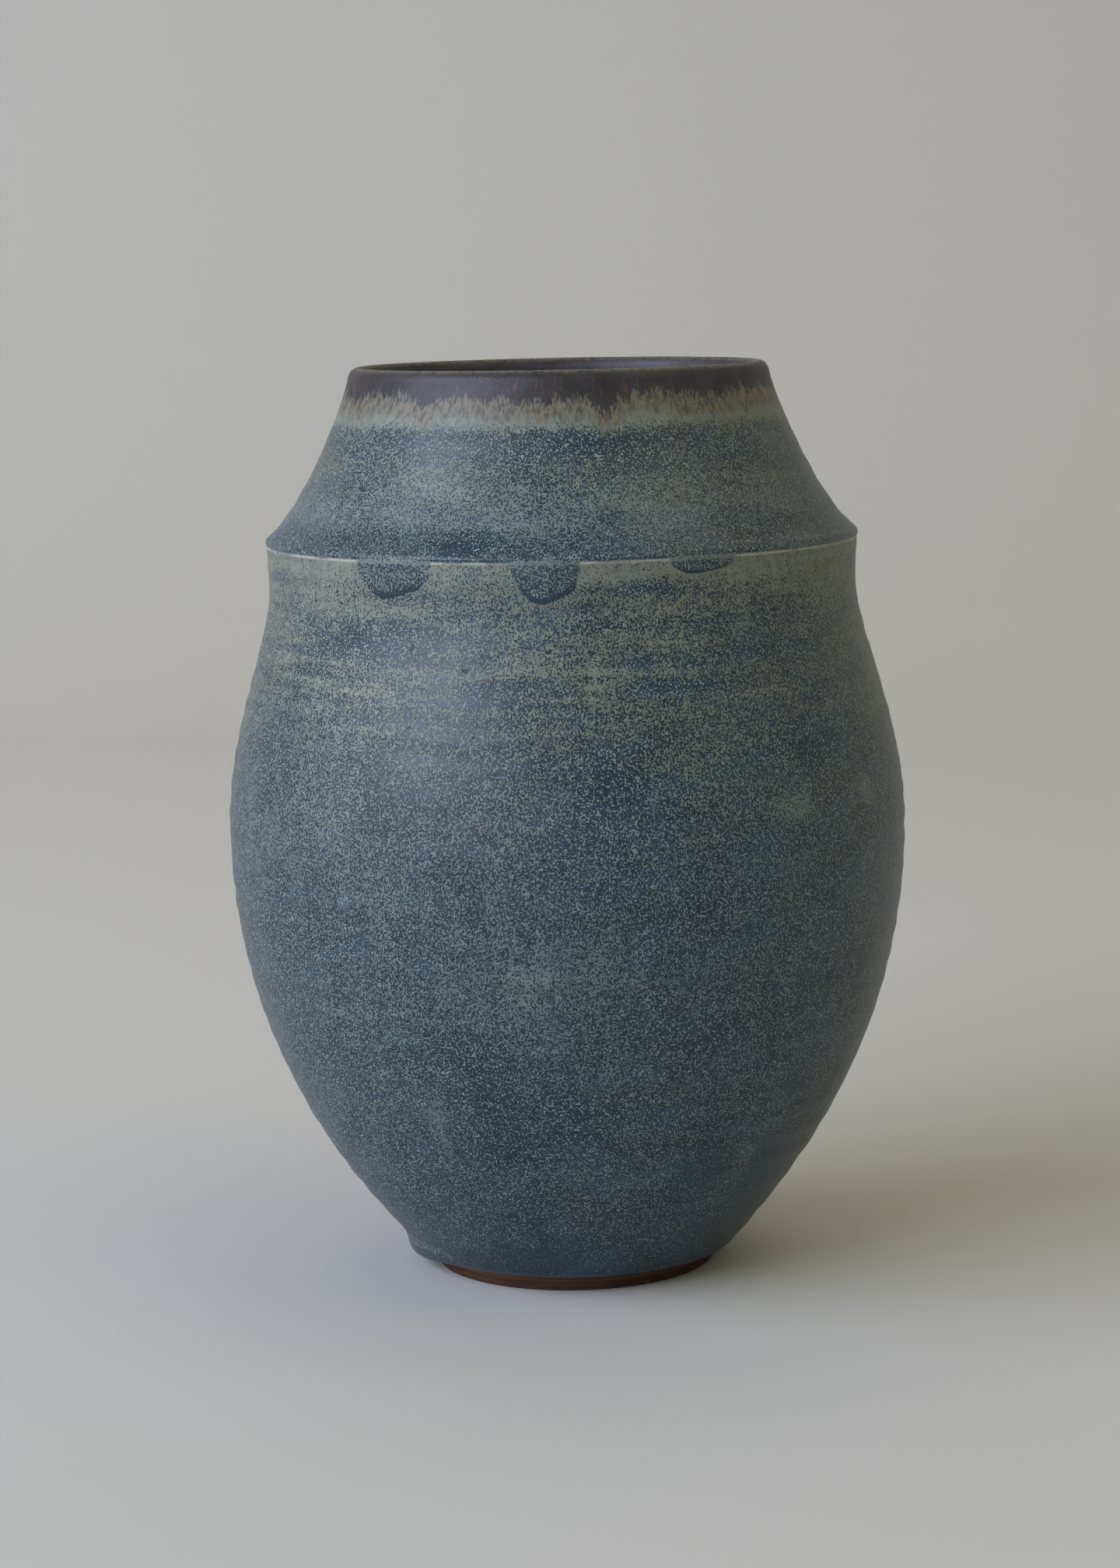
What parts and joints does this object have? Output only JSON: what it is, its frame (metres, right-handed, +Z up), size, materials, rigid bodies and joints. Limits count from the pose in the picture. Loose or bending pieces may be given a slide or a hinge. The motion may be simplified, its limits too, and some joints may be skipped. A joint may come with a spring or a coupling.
{
  "type": "stoneware vase",
  "caption": "Wheel-thrown stoneware vase with a full belly, a sharp ridge under a sloping shoulder, a narrow mouth and mottled blue glaze, to hold stems or stand as ornament.",
  "frame": {"origin": "centre of the standing face of the foot, on the surface the vase stands on", "axes": "+Z up along the pot's axis; -Y is the front, the side with the three runs of glaze under the ridge; +X to the right seen from the front"},
  "size_m": [0.2092, 0.2092, 0.28],
  "materials": {
    "clay": "fired iron-bearing stoneware, matt, hidden under the glaze",
    "foot_clay": "bare fired stoneware, dark reddish brown, matt, with fine turning lines",
    "body_glaze": "satin slate blue with fine pale sage flecks, lighter and greener towards the top",
    "shoulder_glaze": "satin slate blue with dense pale sage flecks, paler under the rim",
    "rim_glaze": "satin near-black iron brown, breaking to tan streaks at its lower edge",
    "liner_glaze": "satin dark brown with rust mottling",
    "glaze_runs": "thick satin slate blue, darker at its rolled edge"
  },
  "bodies": {
    "root": {"lower_section": "clay", "upper_section": "clay", "foot_ring": "foot_clay", "body_glaze": "body_glaze", "shoulder_glaze": "shoulder_glaze", "rim_glaze": "rim_glaze", "liner_glaze": "liner_glaze", "foot_run": "glaze_runs", "ridge_run_left": "glaze_runs", "ridge_run_middle": "glaze_runs", "ridge_run_right": "glaze_runs"}
  },
  "joints": []
}
